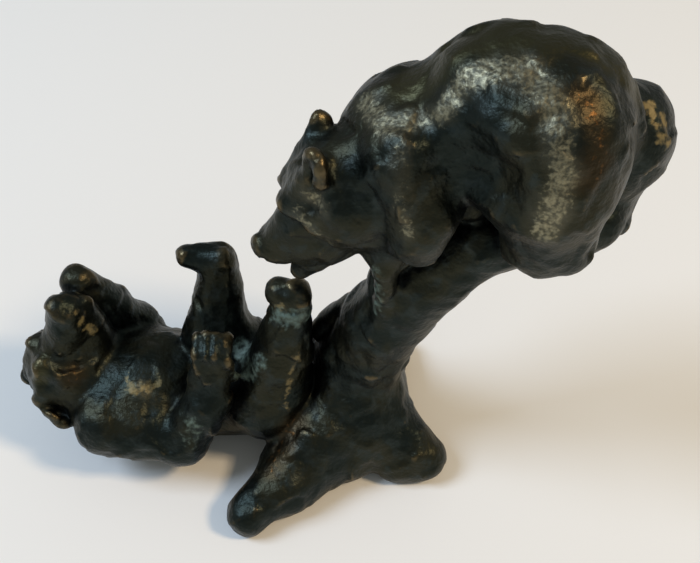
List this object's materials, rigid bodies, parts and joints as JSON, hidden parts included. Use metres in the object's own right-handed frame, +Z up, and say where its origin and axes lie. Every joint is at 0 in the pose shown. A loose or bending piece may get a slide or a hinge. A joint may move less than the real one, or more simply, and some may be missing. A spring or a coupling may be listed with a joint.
{
  "type": "small bronze sculpture of two bears",
  "caption": "Small solid bronze: a bear on a leaning tree stump bends down to a second bear that lies on its back at its foot. Stands on its roots and the lower bear's back.",
  "frame": {"origin": "on the ground under the middle of the stump, on its flat underside", "axes": "+Z up, +X from the lower bear towards the upper bear's rump, +Y away from the side on which both faces show"},
  "size_m": [0.1069, 0.045, 0.0874],
  "materials": {
    "patinated_bronze": "cast bronze with a dark brown-black waxed patina, rubbed bright on the high edges"
  },
  "bodies": {
    "root": {"bronze_bear_group": "patinated_bronze"}
  },
  "joints": []
}
